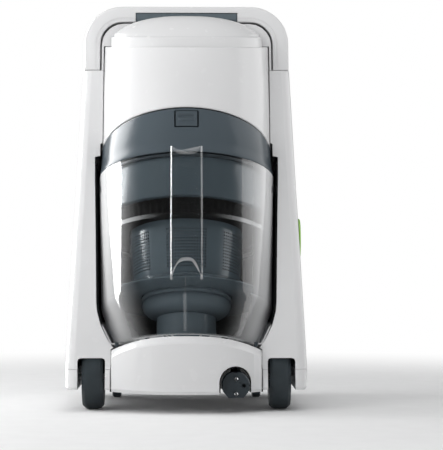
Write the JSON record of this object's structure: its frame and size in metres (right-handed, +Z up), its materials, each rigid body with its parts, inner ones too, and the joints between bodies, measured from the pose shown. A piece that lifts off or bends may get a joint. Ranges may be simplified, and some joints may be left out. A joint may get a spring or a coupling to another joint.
{
  "type": "spot extractor",
  "caption": "Upright wheeled canister cleaning machine with a see-through cyclone dust bin, lift-up handle, wound mains cord and rear solution tank.",
  "frame": {"origin": "on the floor, under the middle of the machine's bounding box", "axes": "+X to the machine's right-hand side as seen from the front, -Y out of the front, +Z up"},
  "size_m": [0.3126, 0.3391, 0.544],
  "materials": {
    "white_shell": "smooth gloss white moulding",
    "slate_part": "satin slate grey moulding",
    "black_part": "matt black moulding",
    "wheel_rubber": "dark slate rubber, matt",
    "clear_bin": "clear polished plastic",
    "green_trim": "lime green moulding",
    "steel_part": "plated steel",
    "filter_foam": "open-cell foam",
    "filter_paper": "pleated filter paper",
    "tank_plastic": "milky translucent plastic",
    "board": "printed circuit laminate",
    "cord_rubber": "smooth cord sheath"
  },
  "bodies": {
    "machine": {"chassis_pan": "white_shell", "side_casing_left": "white_shell", "side_casing_right": "white_shell", "rear_cover": "white_shell", "rear_housing": "white_shell", "upper_body": "white_shell", "hood": "white_shell", "top_cover": "white_shell", "front_bumper": "white_shell", "exhaust_grille": "slate_part", "plug_cup": "black_part", "bin_bay": "black_part", "caster_cup_left": "black_part", "caster_cup_right": "black_part", "motor_case": "black_part", "pump_body": "black_part", "hose_port_duct": "black_part", "bin_rest_left": "wheel_rubber", "bin_rest_right": "wheel_rubber", "hose_port_ring": "green_trim", "wheel_axle_left": "steel_part", "wheel_axle_right": "steel_part", "exhaust_filter": "filter_paper", "circuit_board": "board"},
    "bin": {"bin_shell": "clear_bin", "bin_grip": "clear_bin", "bin_lid": "slate_part", "lid_gasket": "black_part", "cyclone_collar": "slate_part", "pre_filter": "filter_foam", "filter_shroud": "slate_part", "cyclone_skirt": "slate_part", "dust_bowl": "slate_part", "dust_tube": "slate_part"},
    "latch": {"latch_button": "slate_part"},
    "handle": {"handle_bar": "white_shell", "handle_grip": "slate_part", "handle_rod_left": "steel_part", "handle_rod_right": "steel_part"},
    "front_wheel_left": {"wheel_tyre_left": "wheel_rubber", "wheel_hub_left": "slate_part"},
    "front_wheel_right": {"wheel_tyre_right": "wheel_rubber", "wheel_hub_right": "slate_part"},
    "caster_left": {"caster_fork_left": "black_part", "caster_pin_left": "steel_part"},
    "caster_right": {"caster_fork_right": "black_part", "caster_pin_right": "steel_part"},
    "roller_left": {"caster_wheel_left": "wheel_rubber"},
    "roller_right": {"caster_wheel_right": "wheel_rubber"},
    "plug": {"plug_body": "slate_part", "plug_pin_upper": "steel_part", "plug_pin_lower": "steel_part", "mains_lead": "cord_rubber"},
    "reel": {"reel_drum": "black_part", "cord_winding": "cord_rubber"},
    "fan": {"fan_impeller": "steel_part"},
    "power_key": {"power_button": "green_trim"},
    "rewind_key": {"rewind_button": "slate_part"},
    "tank": {"solution_tank": "tank_plastic"},
    "cap": {"tank_cap": "slate_part"}
  },
  "joints": [
    {"name": "bin_pull", "type": "slide", "parent": "machine", "child": "bin", "axis": [0, -0.9563, 0.2924], "range_m": [0, 0.26]},
    {"name": "latch_press", "type": "slide", "parent": "bin", "child": "latch", "axis": [0, 0.9563, -0.2924], "range_m": [0, 0.004], "stiffness_N_per_m": 400, "springref_m": -0.002},
    {"name": "handle_lift", "type": "slide", "parent": "machine", "child": "handle", "axis": [0, 0.2924, 0.9563], "range_m": [0, 0.07]},
    {"name": "front_wheel_left_spin", "type": "hinge", "parent": "machine", "child": "front_wheel_left", "pos_m": [-0.1215, -0.0734, 0.042], "axis": [1, 0, 0], "continuous": true},
    {"name": "front_wheel_right_spin", "type": "hinge", "parent": "machine", "child": "front_wheel_right", "pos_m": [0.1215, -0.0734, 0.042], "axis": [1, 0, 0], "continuous": true},
    {"name": "caster_left_swivel", "type": "hinge", "parent": "machine", "child": "caster_left", "pos_m": [-0.098, 0.1116, 0.03], "axis": [0, 0, 1], "continuous": true},
    {"name": "caster_right_swivel", "type": "hinge", "parent": "machine", "child": "caster_right", "pos_m": [0.098, 0.1116, 0.03], "axis": [0, 0, 1], "continuous": true},
    {"name": "roller_left_spin", "type": "hinge", "parent": "caster_left", "child": "roller_left", "pos_m": [-0.098, 0.1196, 0.014], "axis": [1, 0, 0], "continuous": true},
    {"name": "roller_right_spin", "type": "hinge", "parent": "caster_right", "child": "roller_right", "pos_m": [0.098, 0.1196, 0.014], "axis": [1, 0, 0], "continuous": true},
    {"name": "reel_spin", "type": "hinge", "parent": "machine", "child": "reel", "pos_m": [0.05, 0.1226, 0.073], "axis": [-1, 0, 0], "range_deg": [0, 115]},
    {"name": "plug_pull", "type": "slide", "parent": "machine", "child": "plug", "axis": [0, -1, 0], "range_m": [0, 0.075]},
    {"name": "fan_spin", "type": "hinge", "parent": "machine", "child": "fan", "pos_m": [0, 0.0886, 0.36], "axis": [0, 0, 1], "continuous": true},
    {"name": "power_press", "type": "slide", "parent": "machine", "child": "power_key", "axis": [0, 0, -1], "range_m": [0, 0.003], "stiffness_N_per_m": 500, "springref_m": -0.002},
    {"name": "rewind_press", "type": "slide", "parent": "machine", "child": "rewind_key", "axis": [0, 0, -1], "range_m": [0, 0.003], "stiffness_N_per_m": 500, "springref_m": -0.002},
    {"name": "tank_pull", "type": "slide", "parent": "machine", "child": "tank", "axis": [0, 1, 0], "range_m": [0, 0.11]},
    {"name": "tank_cap_turn", "type": "hinge", "parent": "tank", "child": "cap", "pos_m": [-0.06, 0.1516, 0.236], "axis": [0, 0, 1], "range_deg": [0, 90]}
  ],
  "couplings": [
    {"joint": "plug_pull", "follows": "reel_spin", "m_per_rad": 0.0372}
  ]
}
